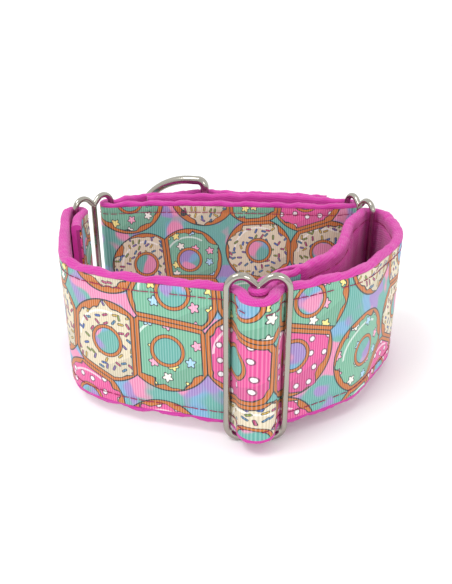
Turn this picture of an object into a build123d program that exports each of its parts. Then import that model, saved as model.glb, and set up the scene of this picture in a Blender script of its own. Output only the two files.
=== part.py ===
from build123d import *
from math import cos, hypot, radians, sin
import os

# Martingale collar standing on its edge. Millimetres, +Z up, +Y from the front of the neck
# band towards the control loop. The plan is drawn about the middle of the front of the neck
# band, and every piece is then moved so that the origin is the bottom centre of the whole.

# strap sandwich, from the neck side outwards
lining_thickness = 1.8
webbing_thickness = 1.3
ribbon_thickness = 0.5
strap_width = 50.0
strap_base = 4.5
rolled_edge = 2.0

# the three alike heart-topped three-bar pieces: slider, left ring and right ring
wire_radius = 1.2
crossing = 26.27
ring_rise = 4.5
corner_radius = 4.3
lobe_radius = 4.0
lobe_sweep = 135.0
weld_radius = 1.35

# D-ring
d_wire_radius = 2.0
d_rise = 7.0
d_corner_radius = 3.2
d_straight = 3.8
d_rest_angle = 165.0

# clearances
ring_play = 0.2
slider_play = 0.15
layer_gap = 0.2

# places, in plan
neck_half_width = 57.35
neck_depth = 87.0
right_ring_step = 2.5
left_ring_turn = 47.0
right_ring_turn = -66.0
slider_x = 9.5
slider_y = -4.4
crest_height = 8.0
d_bar_x = -10.0
loop_bow = 12.6

# worked out from the sizes above
strap_half = (lining_thickness + webbing_thickness + ribbon_thickness) / 2
core_inner = strap_half - ribbon_thickness - webbing_thickness
core_outer = strap_half - ribbon_thickness
strap_top = strap_base + strap_width
ring_fold = wire_radius + ring_play + strap_half
bar_pass = wire_radius + slider_play + strap_half
thin_fold = wire_radius + slider_play - core_inner
crest_pass = wire_radius + 2 * slider_play + webbing_thickness + ribbon_thickness + strap_half
bar_pitch = (bar_pass + crest_pass) / cos(radians(crossing))
ring_height = strap_top + ring_rise
d_height = strap_top + d_rise
left_ring_y = neck_depth
right_ring_y = neck_depth - right_ring_step
overlap_step = (2 * strap_half + layer_gap) / cos(radians(18))

# how finely each ply's line is drawn: a short step, and how many steps lie between the points
# that are kept, which are closer together where a strap turns on a bar without its lining
fine_step = 0.4
easing_passes = 4
steps_between_points = 5
steps_in_tight_turn = 3


def polar(centre, radius, angle):
    return (centre[0] + radius * cos(radians(angle)), centre[1] + radius * sin(radians(angle)))


def arc_points(centre, radius, start, stop, count):
    step = (stop - start) / (count - 1)
    return [polar(centre, radius, start + step * k) for k in range(count)]


def bars(centre, turn):
    """Plan centres of a piece's three upright bars."""
    return [polar(centre, -bar_pitch, turn), centre, polar(centre, bar_pitch, turn)]


def beside(centre, *offsets):
    return [(centre[0] + dx, centre[1] + dy) for dx, dy in offsets]


def neck(*points):
    """Points of the neck band as shares of the neck's half width and of its depth."""
    return [(share * neck_half_width, depth * neck_depth) for share, depth in points]


unlined_runs = ["slider_end"]

left_band_bar, _, left_loop_bar = bars((-neck_half_width, left_ring_y), left_ring_turn)
right_loop_bar, _, right_band_bar = bars((neck_half_width, right_ring_y), right_ring_turn)
slider_left_bar, slider_middle_bar, slider_right_bar = bars((slider_x, slider_y), 0)


# Plan of the neck strap, from its sewn left tail round to its end on the slider's middle bar.
# Each run belongs to one body, or crosses from one body to the next. A run starts where the
# one before it ends.
def neck_strap_runs():
    lean = (sin(radians(crossing)), cos(radians(crossing)))
    thin_in = polar(slider_middle_bar, thin_fold, 180 - crossing)
    thin_out = polar(slider_middle_bar, thin_fold, -crossing)

    def leaning(start, *lengths):
        return [(start[0] + length * lean[0], start[1] + length * lean[1]) for length in lengths]

    return [
        ("left_end",
         beside(left_band_bar, (5.3, -23.3), (3.9, -16.3), (2.9, -9.3), (3.1, -3.0))
         + arc_points(left_band_bar, ring_fold, 5, 175, 5)
         + beside(left_band_bar, (-2.9, -5.3), (-1.4, -12.8), (0.3, -19.8), (1.8, -26.8))),
        ("left_side", neck((-1.05, 0.529), (-1.011, 0.425), (-0.97, 0.322))),
        ("front_left",
         neck((-0.914, 0.239), (-0.813, 0.171), (-0.68, 0.12), (-0.514, 0.0736), (-0.34, 0.0437))),
        ("beside_slider_left",
         neck((-0.2, 0.02)) + beside(slider_left_bar, (-5.6, bar_pass + 1.2), (0, bar_pass))),
        ("crest",
         arc_points(slider_left_bar, bar_pass, 68, crossing, 3)
         + [polar(slider_middle_bar, crest_pass + 0.05, 180 + crossing),
            polar(slider_middle_bar, (crest_pass + crest_height) / 2, 232),
            polar(slider_middle_bar, crest_height, 270),
            polar(slider_middle_bar, (crest_pass + crest_height) / 2, 308),
            polar(slider_middle_bar, crest_pass + 0.05, 360 - crossing)]
         + arc_points(slider_right_bar, bar_pass, 180 - crossing, 90, 4)),
        ("beside_slider_right",
         beside(slider_right_bar, (4.8, bar_pass + 2.1), (10.3, bar_pass + 5.1)) + neck((0.61, 0.084))),
        ("front_right", neck((0.724, 0.133), (0.816, 0.2), (0.915, 0.299), (1.008, 0.391))),
        ("right_side_outer",
         neck((1.086, 0.483)) + beside(right_band_bar, (4.1, -25.1), (5.4, -17.1), (5.7, -9.1))),
        ("right_end",
         beside(right_band_bar, (5.5, -2.6), (4.1, 2.9), (0.9, 5.9), (-2.5, 4.5), (-5.5, -0.1),
                (-9.1, -6.5), (-10.9, -10.1))),
        ("right_side_inner",
         beside(right_band_bar, (-13.1, -16.1), (-15.3, -24.1)) + neck((0.743, 0.471), (0.69, 0.385),
                                                                      (0.628, 0.31))),
        ("beside_slider_inner",
         neck((0.549, 0.248)) + beside(slider_middle_bar, (17.5, 21.6), (15, 19))),
        ("slider_end",
         beside(slider_middle_bar, (9.5, 15.1), (5.3, 11.3), (2.6, 7.4))
         + leaning(thin_in, 3.4, 1.0)
         + arc_points(slider_middle_bar, thin_fold, 180 - crossing, 360 - crossing, 7)
         + leaning(thin_out, 1.0, 5.0)
         + beside(slider_middle_bar, (4.7, 7.0), (6.8, 10.7), (10.3, 14.3), (13.2, 16.6))),
    ]


def loop_inner(share):
    """Plan of the loop's inner far layer, which bows out between the two rings."""
    right = right_loop_bar[1] + ring_fold
    left = left_loop_bar[1] + ring_fold
    level = left + (right - left) * (share + 1) / 2
    return (share * neck_half_width, level + loop_bow * (1 - (share / 0.98) ** 2) ** 0.8 - 2.6)


def loop_outer(share):
    x, y = loop_inner(share)
    return (x, y + overlap_step)


d_bar_share = d_bar_x / neck_half_width
d_bar_y = loop_inner(d_bar_share)[1] + strap_half + layer_gap + d_wire_radius
d_bar = (d_bar_x, d_bar_y)
over_d_bar = (d_bar_x, d_bar_y + d_wire_radius + layer_gap + strap_half)


# Plan of the control loop's strap, from its outer end over the D-ring's bar, round the left
# ring, along the near side, round the right ring and back to its inner end.
def loop_strap_runs():
    near_level = (left_loop_bar[1] + right_loop_bar[1]) / 2
    near = [(-0.45, 0.15), (-0.244, 0.1), (0, -0.9), (0.244, -1.9), (0.45, -3.3), (0.645, -4.7)]
    near = [(share * neck_half_width, near_level + rise) for share, rise in near]
    return [
        ("outer_right_leg", [loop_outer(share) for share in (0.8, 0.63, 0.45, 0.25, 0.07)]),
        ("outer_centre_right", [(d_bar_x + 7, d_bar_y + 2.7), over_d_bar]),
        ("outer_centre_left", [(d_bar_x - 7, d_bar_y + 2.5), loop_outer(-0.42)]),
        ("outer_left_leg", [loop_outer(-0.53), loop_outer(-0.65)] + beside(left_loop_bar, (8.0, 9.6),
                                                                           (4.4, 5.9))),
        ("left_end",
         arc_points(left_loop_bar, ring_fold, 80, 280, 7) + beside(left_loop_bar, (4.6, -2.7), (8.4, -1.6))),
        ("near_left", beside(left_loop_bar, (15, -0.5)) + near[:2]),
        ("near_middle", near[2:4]),
        ("near_right", near[4:] + beside(right_loop_bar, (-9.3, -4.7))),
        ("right_end",
         beside(right_loop_bar, (-5.0, -4.4)) + arc_points(right_loop_bar, ring_fold, -105, 95, 7)
         + beside(right_loop_bar, (-5.4, 4.9))),
        ("inner_right_leg", [loop_inner(share) for share in (0.77, 0.63, 0.45, 0.25, 0.07)]),
        ("inner_centre_right", [loop_inner(-0.05), loop_inner(d_bar_share)]),
        ("inner_centre_left", [loop_inner(-0.3), loop_inner(-0.42)]),
        ("inner_left_leg", [loop_inner(-0.53), loop_inner(-0.63)]),
    ]


def tangent(points, k):
    if k == 0 or k == len(points) - 1:
        before, after = points[max(k - 1, 0)], points[min(k + 1, len(points) - 1)]
        span = hypot(after[0] - before[0], after[1] - before[1])
        return ((after[0] - before[0]) / span, (after[1] - before[1]) / span)
    back = [points[k][i] - points[k - 1][i] for i in (0, 1)]
    ahead = [points[k + 1][i] - points[k][i] for i in (0, 1)]
    back_span, ahead_span = hypot(*back), hypot(*ahead)
    slope = [(back[i] / back_span * ahead_span + ahead[i] / ahead_span * back_span) for i in (0, 1)]
    span = hypot(*slope)
    return (slope[0] / span, slope[1] / span)


def between(points, k, t):
    """A point on the line between guide points k and k + 1."""
    (ax, ay), (bx, by) = points[k], points[k + 1]
    span = hypot(bx - ax, by - ay)
    (ux, uy), (vx, vy) = tangent(points, k), tangent(points, k + 1)
    a, b = 2 * t**3 - 3 * t**2 + 1, span * (t**3 - 2 * t**2 + t)
    c, d = 3 * t**2 - 2 * t**3, span * (t**3 - t**2)
    return (a * ax + b * ux + c * bx + d * vx, a * ay + b * uy + c * by + d * vy)


def smoothed(points):
    """The same line with its sharpest changes of bend eased, as cloth eases them."""
    for _ in range(easing_passes):
        middle = [((a[0] + 2 * b[0] + c[0]) / 4, (a[1] + 2 * b[1] + c[1]) / 4)
                  for a, b, c in zip(points, points[1:], points[2:])]
        points = [points[0]] + middle + [points[-1]]
    return points


def lines_of(runs):
    """Each run's own list of points and outward normals along the one smooth strap."""
    guides = [point for name, part in runs for point in part]
    fine, marks = [], []
    for k in range(len(guides) - 1):
        (ax, ay), (bx, by) = guides[k], guides[k + 1]
        count = max(2, round(hypot(bx - ax, by - ay) / fine_step))
        marks.append(len(fine))
        fine += [between(guides, k, s / count) for s in range(count)]
    marks.append(len(fine))
    fine = smoothed(fine + [guides[-1]])
    normals = []
    for k in range(len(fine)):
        before, after = fine[max(k - 1, 0)], fine[min(k + 1, len(fine) - 1)]
        span = hypot(after[0] - before[0], after[1] - before[1])
        normals.append(((after[1] - before[1]) / span, (before[0] - after[0]) / span))
    lines, first, guide = {}, 0, 0
    for name, part in runs:
        guide += len(part) - (1 if guide == 0 else 0)
        last = marks[guide]
        steps = steps_in_tight_turn if name in unlined_runs else steps_between_points
        count = max(3, round((last - first) / steps))
        kept = [first + round((last - first) * k / count) for k in range(count + 1)]
        lines[name] = [(fine[k], normals[k]) for k in kept]
        first = last
    return lines


def side(points, folded):
    """One long side of a ply's outline. A folded ply's is a chain of short curves."""
    if not folded:
        return [Spline(*points)]
    curves = []
    for k in range(len(points) - 1):
        (ax, ay), (bx, by) = points[k], points[k + 1]
        (ux, uy), (vx, vy) = tangent(points, k), tangent(points, k + 1)
        third = hypot(bx - ax, by - ay) / 3
        curves.append(Bezier((ax, ay), (ax + ux * third, ay + uy * third),
                             (bx - vx * third, by - vy * third), (bx, by)))
    return curves


def strip(line, inner, outer, low, high, folded=False):
    """A ply: the band between two offsets of the line, standing from low to high."""
    near = [(x + nx * inner, y + ny * inner) for (x, y), (nx, ny) in line]
    far = [(x + nx * outer, y + ny * outer) for (x, y), (nx, ny) in line]
    ends = [Line(near[0], far[0]), Line(near[-1], far[-1])]
    outline = side(near, folded) + side(far, folded) + ends
    return Pos(0, 0, low) * extrude(make_face(outline), amount=high - low, clean=not folded)


def lining(line):
    """The padded lining, with its two edges rolled round the webbing and the ribbon."""
    whole = strip(line, -strap_half, strap_half, strap_base, strap_top)
    core = strip(line, core_inner, strap_half + 1, strap_base + rolled_edge, strap_top - rolled_edge)
    return whole - core


def webbing(line, folded):
    return strip(line, core_inner, core_outer, strap_base + rolled_edge, strap_top - rolled_edge, folded)


def ribbon(line, folded):
    return strip(line, core_outer, strap_half, strap_base + rolled_edge, strap_top - rolled_edge, folded)


def wire(outline, radius):
    path = Plane.XZ * outline
    start = path @ 0
    return sweep(Plane(start, z_dir=path % 0) * Circle(radius), path=path)


def three_bar_piece(centre, turn):
    """Bent and welded wire: two side bars, a middle bar, a flat foot and a heart-shaped top."""
    lobe_z = ring_height - wire_radius - lobe_radius
    lobe_end = polar((bar_pitch - lobe_radius, lobe_z), lobe_radius, lobe_sweep)
    notch_z = lobe_end[1] - lobe_end[0]
    corner_x = bar_pitch - corner_radius
    corner_z = wire_radius + corner_radius
    side = (Line((0, wire_radius), (corner_x, wire_radius))
            + CenterArc((corner_x, corner_z), corner_radius, -90, 90)
            + Line((bar_pitch, corner_z), (bar_pitch, lobe_z))
            + CenterArc((bar_pitch - lobe_radius, lobe_z), lobe_radius, 0, lobe_sweep)
            + Line(lobe_end, (0, notch_z)))
    half = wire(side, wire_radius)
    middle = Pos(0, 0, wire_radius) * extrude(Circle(wire_radius), amount=notch_z - wire_radius)
    weld = Pos(0, 0, notch_z) * Sphere(weld_radius)
    return Pos(centre[0], centre[1], 0) * Rot(0, 0, turn) * (half + mirror(half, Plane.YZ) + middle + weld)


def d_ring():
    bow = d_height / 2 - d_wire_radius
    top = d_height - d_wire_radius
    bend = d_corner_radius
    outline = (Line((0, d_wire_radius + bend), (0, top - bend))
               + CenterArc((bend, top - bend), bend, 180, -90)
               + Line((bend, top), (bend + d_straight, top))
               + CenterArc((bend + d_straight, d_height / 2), bow, 90, -180)
               + Line((bend + d_straight, d_wire_radius), (bend, d_wire_radius))
               + CenterArc((bend, d_wire_radius + bend), bend, -90, -90))
    ring = wire(outline, d_wire_radius)
    return Pos(d_bar[0], d_bar[1], 0) * Rot(0, 0, d_rest_angle) * ring


# Which runs of each strap make one node, by the node's place on the collar.
neck_places = {
    "left_end": ["left_end"],
    "left_side": ["left_side"],
    "front": ["front_left", "front_right"],
    "beside_slider": ["beside_slider_left", "beside_slider_right", "beside_slider_inner"],
    "at_slider": ["crest", "slider_end"],
    "right_side": ["right_side_outer", "right_side_inner"],
    "right_end": ["right_end"],
}
loop_places = {
    "left_end": ["left_end"],
    "near_left": ["near_left"],
    "near_middle": ["near_middle"],
    "near_right": ["near_right"],
    "right_end": ["right_end"],
    "right_leg": ["outer_right_leg", "inner_right_leg"],
    "centre_right": ["outer_centre_right", "inner_centre_right"],
    "centre_left": ["outer_centre_left", "inner_centre_left"],
    "left_leg": ["outer_left_leg", "inner_left_leg"],
}


def strap_nodes(strap, runs, places):
    lines = lines_of(runs)
    nodes = {}
    for place, names in places.items():
        lined = [name for name in names if name not in unlined_runs]
        nodes[f"{strap}_lining_{place}"] = [lining(lines[name]) for name in lined]
        nodes[f"{strap}_webbing_{place}"] = [webbing(lines[name], name in unlined_runs) for name in names]
        nodes[f"{strap}_ribbon_{place}"] = [ribbon(lines[name], name in unlined_runs) for name in names]
    return nodes


def build():
    nodes = strap_nodes("neck", neck_strap_runs(), neck_places)
    nodes |= strap_nodes("loop", loop_strap_runs(), loop_places)
    nodes["slider"] = [three_bar_piece((slider_x, slider_y), 0)]
    nodes["left_ring"] = [three_bar_piece((-neck_half_width, left_ring_y), left_ring_turn)]
    nodes["right_ring"] = [three_bar_piece((neck_half_width, right_ring_y), right_ring_turn)]
    nodes["d_ring"] = [d_ring()]
    return nodes


nodes = build()
box = Compound(children=[solid for parts in nodes.values() for part in parts for solid in part.solids()])
box = box.bounding_box()
shift = ((box.min.X + box.max.X) / -2, (box.min.Y + box.max.Y) / -2, -box.min.Z)
os.makedirs("parts", exist_ok=True)
for name, parts in nodes.items():
    solids = [Pos(*shift) * solid for part in parts for solid in part.solids()]
    export_step(Compound(children=solids) if len(solids) > 1 else solids[0], f"parts/{name}.step")
print("shift", [round(value, 4) for value in shift], "size", box.size)
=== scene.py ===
"""Martingale collar: padded straps with a printed ribbon, stitching, nickel wire pieces and a stage."""
import math
from collections import namedtuple

import bpy
import numpy as np
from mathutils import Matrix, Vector


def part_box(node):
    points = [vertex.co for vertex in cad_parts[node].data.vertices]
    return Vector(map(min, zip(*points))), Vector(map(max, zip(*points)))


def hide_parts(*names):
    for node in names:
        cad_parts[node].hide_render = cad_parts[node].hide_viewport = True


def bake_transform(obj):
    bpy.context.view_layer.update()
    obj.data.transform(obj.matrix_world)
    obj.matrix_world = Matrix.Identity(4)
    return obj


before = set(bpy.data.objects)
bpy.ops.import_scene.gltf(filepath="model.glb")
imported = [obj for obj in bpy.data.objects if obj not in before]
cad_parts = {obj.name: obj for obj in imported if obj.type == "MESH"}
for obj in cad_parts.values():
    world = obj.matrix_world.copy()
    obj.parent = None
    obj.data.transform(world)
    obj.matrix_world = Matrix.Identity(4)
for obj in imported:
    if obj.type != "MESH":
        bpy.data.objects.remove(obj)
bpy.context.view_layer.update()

bl_info = {
    "name": "Martingale collar",
    "version": (1, 0, 0),
    "blender": (4, 5, 0),
    "location": "3D View > Sidebar > Collar",
    "description": "Builds the collar's straps, stitching, hardware finish and stage round its frame",
    "category": "Object",
}

MM = 0.001

# The strap's plies in millimetres: their faces outwards from the middle of its thickness, and
# their half widths.
HALF_THICKNESS = 1.8
WEBBING_OUTER = 1.3
WEBBING_FACE = 1.27
WEBBING_INNER = 0.03
WEBBING_HALF_WIDTH = 22.85
RIBBON_HALF_WIDTH = 22.95
RIBBON_FACE = 1.84
RIBBON_CROWN = 0.06
# How deep the sewn rows draw the ribbon in, how much more at each stitch, and how far to each side.
ROW_SINK = 0.24
ROW_RIPPLE = 0.05
ROW_SPREAD = 0.8
# The wires, and the slack between them and the strap and between its layers.
WIRE_RADIUS = 1.2
D_WIRE_RADIUS = 2.0
RING_PLAY = 0.2
SLIDER_PLAY = 0.15
LAYER_GAP = 0.2
# How each three-bar piece is turned in plan, how steeply the strap crosses the slider's bars, and
# how far the slider stands out from the front.
RING_TURN = {"left_ring": 47.0, "right_ring": -66.0, "slider": 0.0}
CROSSING = 26.27
SLIDER_STANDS_OUT = 4.4

# From a bar's middle to the middle of the strap that passes it, and the layout that follows.
RING_FOLD = WIRE_RADIUS + RING_PLAY + HALF_THICKNESS
BAR_PASS = WIRE_RADIUS + SLIDER_PLAY + HALF_THICKNESS
THIN_FOLD = WIRE_RADIUS + SLIDER_PLAY
CREST_PASS = WIRE_RADIUS + 2 * SLIDER_PLAY + 2 * HALF_THICKNESS
CREST_HEIGHT = 8.0
BAR_PITCH = (BAR_PASS + CREST_PASS) / math.cos(math.radians(CROSSING))
LAP_SLANT = 18
OVERLAP_STEP = (2 * HALF_THICKNESS + LAYER_GAP) / math.cos(math.radians(LAP_SLANT))
# The control loop's bow: its rise, its half span as a share, its roundness and its set-back.
LOOP_BOW = 12.6
LOOP_SPAN = 0.98
LOOP_ROUNDNESS = 0.8
LOOP_SET_BACK = 2.6
D_BAR_OFFSET = -10.0
# Spacing of the fine points along a strap, and how often they are eased.
FINE_STEP = 0.4
EASING_PASSES = 4

# Along its end run at the slider the lining is one thin layer, seated in front of the middle.
THIN_SEAT = 0.45
THINNING_STEPS = 12
# The padding is flat this near a bar and free this much further on, and flat for a few fine steps
# past a run that lies against another layer.
FLAT_BESIDE_BAR = 5.0
SWELLS_OVER = 8.0
FLAT_STEPS = 20


def middle_of(node):
    """A node's middle in plan, in millimetres."""
    low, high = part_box(node)
    return ((low.x + high.x) / 2 / MM, (low.y + high.y) / 2 / MM)


LEFT_RING = middle_of("left_ring")
RIGHT_RING = middle_of("right_ring")
SLIDER = middle_of("slider")
HALF_WIDTH = (RIGHT_RING[0] - LEFT_RING[0]) / 2
FRONT = ((LEFT_RING[0] + RIGHT_RING[0]) / 2, SLIDER[1] + SLIDER_STANDS_OUT)
DEPTH = LEFT_RING[1] - FRONT[1]
STRAP_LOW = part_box("neck_lining_front")[0].z / MM
STRAP_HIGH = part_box("neck_lining_front")[1].z / MM
MID_HEIGHT = (STRAP_LOW + STRAP_HIGH) / 2


def polar(centre, radius, angle):
    """The point at this distance and angle, in degrees, from the centre."""
    return (centre[0] + radius * math.cos(math.radians(angle)),
            centre[1] + radius * math.sin(math.radians(angle)))


def arc_points(centre, radius, start, stop, count):
    """Points at even angles round an arc."""
    step = (stop - start) / (count - 1)
    return [polar(centre, radius, start + step * k) for k in range(count)]


def beside(centre, *offsets):
    """Points at these offsets from a bar."""
    return [(centre[0] + dx, centre[1] + dy) for dx, dy in offsets]


def neck(*points):
    """Points placed by their shares of the neck opening's half width and depth."""
    return [(FRONT[0] + share * HALF_WIDTH, FRONT[1] + depth * DEPTH) for share, depth in points]


def bars(node, centre):
    """The three bars of a ring or slider, across its own turn."""
    turn = RING_TURN[node]
    return [polar(centre, -BAR_PITCH, turn), centre, polar(centre, BAR_PITCH, turn)]


left_band_bar, left_middle_bar, left_loop_bar = bars("left_ring", LEFT_RING)
right_loop_bar, right_middle_bar, right_band_bar = bars("right_ring", RIGHT_RING)
slider_left_bar, slider_middle_bar, slider_right_bar = bars("slider", SLIDER)


def neck_runs():
    """The neck strap's runs and their guide points, from the left ring round to the slider's bar."""
    lean = (math.sin(math.radians(CROSSING)), math.cos(math.radians(CROSSING)))
    thin_in = polar(slider_middle_bar, THIN_FOLD, 180 - CROSSING)
    thin_out = polar(slider_middle_bar, THIN_FOLD, -CROSSING)
    middle_rise = (CREST_PASS + CREST_HEIGHT) / 2

    def leaning(start, *lengths):
        return [(start[0] + length * lean[0], start[1] + length * lean[1]) for length in lengths]

    return [
        ("left_end",
         beside(left_band_bar, (5.3, -23.3), (3.9, -16.3), (2.9, -9.3), (3.1, -3.0))
         + arc_points(left_band_bar, RING_FOLD, 5, 175, 5)
         + beside(left_band_bar, (-2.9, -5.3), (-1.4, -12.8), (0.3, -19.8), (1.8, -26.8))),
        ("left_side", neck((-1.05, 0.529), (-1.011, 0.425), (-0.97, 0.322))),
        ("front_left",
         neck((-0.914, 0.239), (-0.813, 0.171), (-0.68, 0.12), (-0.514, 0.0736), (-0.34, 0.0437))),
        ("beside_slider_left",
         neck((-0.2, 0.02)) + beside(slider_left_bar, (-5.6, BAR_PASS + 1.2), (0, BAR_PASS))),
        ("crest",
         arc_points(slider_left_bar, BAR_PASS, 68, CROSSING, 3)
         + [polar(slider_middle_bar, CREST_PASS + 0.05, 180 + CROSSING),
            polar(slider_middle_bar, middle_rise, 232),
            polar(slider_middle_bar, CREST_HEIGHT, 270),
            polar(slider_middle_bar, middle_rise, 308),
            polar(slider_middle_bar, CREST_PASS + 0.05, 360 - CROSSING)]
         + arc_points(slider_right_bar, BAR_PASS, 180 - CROSSING, 90, 4)),
        ("beside_slider_right",
         beside(slider_right_bar, (4.8, BAR_PASS + 2.1), (10.3, BAR_PASS + 5.1)) + neck((0.61, 0.084))),
        ("front_right", neck((0.724, 0.133), (0.816, 0.2), (0.915, 0.299), (1.008, 0.391))),
        ("right_side_outer",
         neck((1.086, 0.483)) + beside(right_band_bar, (4.1, -25.1), (5.4, -17.1), (5.7, -9.1))),
        ("right_end",
         beside(right_band_bar, (5.5, -2.6), (4.1, 2.9), (0.9, 5.9), (-2.5, 4.5), (-5.5, -0.1),
                (-9.1, -6.5), (-10.9, -10.1))),
        ("right_side_inner",
         beside(right_band_bar, (-13.1, -16.1), (-15.3, -24.1))
         + neck((0.743, 0.471), (0.69, 0.385), (0.628, 0.31))),
        ("beside_slider_inner",
         neck((0.549, 0.248)) + beside(slider_middle_bar, (17.5, 21.6), (15, 19))),
        ("slider_end",
         beside(slider_middle_bar, (9.5, 15.1), (5.3, 11.3), (2.6, 7.4))
         + leaning(thin_in, 3.4, 1.0)
         + arc_points(slider_middle_bar, THIN_FOLD, 180 - CROSSING, 360 - CROSSING, 7)
         + leaning(thin_out, 1.0, 5.0)
         + beside(slider_middle_bar, (4.7, 7.0), (6.8, 10.7), (10.3, 14.3), (13.2, 16.6))),
    ]


def loop_inner(share):
    """A point of the control loop's inner layer, by its share of the half width from the middle."""
    right = right_loop_bar[1] + RING_FOLD
    left = left_loop_bar[1] + RING_FOLD
    level = left + (right - left) * (share + 1) / 2
    rise = LOOP_BOW * (1 - (share / LOOP_SPAN) ** 2) ** LOOP_ROUNDNESS
    return (FRONT[0] + share * HALF_WIDTH, level + rise - LOOP_SET_BACK)


def loop_outer(share):
    """The point of the outer layer over the same share."""
    x, y = loop_inner(share)
    return (x, y + OVERLAP_STEP)


D_BAR_SHARE = D_BAR_OFFSET / HALF_WIDTH
D_BAR = (loop_inner(D_BAR_SHARE)[0],
         loop_inner(D_BAR_SHARE)[1] + HALF_THICKNESS + LAYER_GAP + D_WIRE_RADIUS)


def loop_runs():
    """The control loop's runs and their guide points, from one lapped end round to the other."""
    level = (left_loop_bar[1] + right_loop_bar[1]) / 2
    near = [(-0.45, 0.15), (-0.244, 0.1), (0, -0.9), (0.244, -1.9), (0.45, -3.3), (0.645, -4.7)]
    near = [(FRONT[0] + share * HALF_WIDTH, level + rise) for share, rise in near]
    over_d_bar = (D_BAR[0], D_BAR[1] + D_WIRE_RADIUS + LAYER_GAP + HALF_THICKNESS)
    return [
        ("outer_right_leg", [loop_outer(share) for share in (0.8, 0.63, 0.45, 0.25, 0.07)]),
        ("outer_centre_right", beside(D_BAR, (7, 2.7)) + [over_d_bar]),
        ("outer_centre_left", beside(D_BAR, (-7, 2.5)) + [loop_outer(-0.42)]),
        ("outer_left_leg",
         [loop_outer(-0.53), loop_outer(-0.65)] + beside(left_loop_bar, (8.0, 9.6), (4.4, 5.9))),
        ("left_end",
         arc_points(left_loop_bar, RING_FOLD, 80, 280, 7)
         + beside(left_loop_bar, (4.6, -2.7), (8.4, -1.6))),
        ("near_left", beside(left_loop_bar, (15, -0.5)) + near[:2]),
        ("near_middle", near[2:4]),
        ("near_right", near[4:] + beside(right_loop_bar, (-9.3, -4.7))),
        ("right_end",
         beside(right_loop_bar, (-5.0, -4.4)) + arc_points(right_loop_bar, RING_FOLD, -105, 95, 7)
         + beside(right_loop_bar, (-5.4, 4.9))),
        ("inner_right_leg", [loop_inner(share) for share in (0.77, 0.63, 0.45, 0.25, 0.07)]),
        ("inner_centre_right", [loop_inner(-0.05), loop_inner(D_BAR_SHARE)]),
        ("inner_centre_left", [loop_inner(-0.3), loop_inner(-0.42)]),
        ("inner_left_leg", [loop_inner(-0.53), loop_inner(-0.63)]),
    ]


def tangents(points):
    """Unit directions of the line at its guide points."""
    steps = np.diff(points, axis=0)
    spans = np.linalg.norm(steps, axis=1)[:, None]
    middle = steps[:-1] / spans[:-1] * spans[1:] + steps[1:] / spans[1:] * spans[:-1]
    found = np.vstack([steps[:1], middle, steps[-1:]])
    return found / np.linalg.norm(found, axis=1)[:, None]


class StrapLine:
    """A strap's plan: points at even fine steps, outward normals, lengths along it, and its runs."""

    def __init__(self, runs, flat_runs):
        guides = np.array([point for _, part in runs for point in part], float)
        direction = tangents(guides)
        fine, marks = [], []
        for k in range(len(guides) - 1):
            a, b = guides[k], guides[k + 1]
            span = np.linalg.norm(b - a)
            count = max(2, round(span / FINE_STEP))
            marks.append(len(fine))
            for t in np.arange(count) / count:
                fine.append((2 * t**3 - 3 * t**2 + 1) * a + (3 * t**2 - 2 * t**3) * b
                            + span * (t**3 - 2 * t**2 + t) * direction[k]
                            + span * (t**3 - t**2) * direction[k + 1])
        marks.append(len(fine))
        line = np.array(fine + [guides[-1]])
        for _ in range(EASING_PASSES):
            line[1:-1] = (line[:-2] + 2 * line[1:-1] + line[2:]) / 4
        along = np.gradient(line, axis=0)
        along /= np.linalg.norm(along, axis=1)[:, None]
        self.point = line
        self.along = along
        self.normal = np.stack([along[:, 1], -along[:, 0]], axis=1)
        self.length = np.concatenate([[0], np.cumsum(np.linalg.norm(np.diff(line, axis=0), axis=1))])
        self.runs, first, guide = {}, 0, 0
        for name, part in runs:
            guide += len(part) - (1 if guide == 0 else 0)
            self.runs[name] = (first, marks[guide])
            first = marks[guide]
        self.fullness = self.padding_fullness(flat_runs)
        self.thinness = np.zeros(len(line))
        if "slider_end" in self.runs:
            start = self.runs["slider_end"][0]
            self.thinness = np.clip((np.arange(len(line)) - start) / THINNING_STEPS, 0, 1)

    def padding_fullness(self, flat_runs):
        """How far the padding may swell, from 0 beside a bar or another layer to 1 where it's free."""
        posts = np.array([left_band_bar, left_middle_bar, left_loop_bar, right_loop_bar,
                          right_middle_bar, right_band_bar, slider_left_bar, slider_middle_bar,
                          slider_right_bar, D_BAR])
        away = np.linalg.norm(self.point[:, None] - posts[None], axis=2).min(axis=1)
        full = np.clip((away - FLAT_BESIDE_BAR) / SWELLS_OVER, 0, 1)
        for name in flat_runs:
            first, last = self.runs[name]
            full[max(first - FLAT_STEPS, 0):last + FLAT_STEPS] = 0
        kernel = np.ones(FLAT_STEPS + 1) / (FLAT_STEPS + 1)
        return np.convolve(np.pad(full, FLAT_STEPS // 2, mode="edge"), kernel, mode="valid")

    def station(self, run, share=0.0):
        """The fine step at this share of a run."""
        first, last = self.runs[run]
        return round(first + (last - first) * share)

    def nearest(self, distance):
        """The fine step at this distance along the strap."""
        return int(np.searchsorted(self.length, distance))


LINES = {
    "neck": StrapLine(neck_runs(), ["left_end", "crest", "slider_end"]),
    "loop": StrapLine(loop_runs(), ["outer_right_leg", "outer_centre_right", "outer_centre_left",
                                    "outer_left_leg", "inner_right_leg", "inner_centre_right",
                                    "inner_centre_left", "inner_left_leg"]),
}

# Each strap piece: its name and strap, the run and share at each of its ends, the two bodies that
# it runs between, a plan point given for the first and then one for the second, the frame nodes
# that it stands for, and the run from which its padding thins.
StrapPiece = namedtuple("StrapPiece", "name strap first last bodies start end places thins_at")


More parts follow.
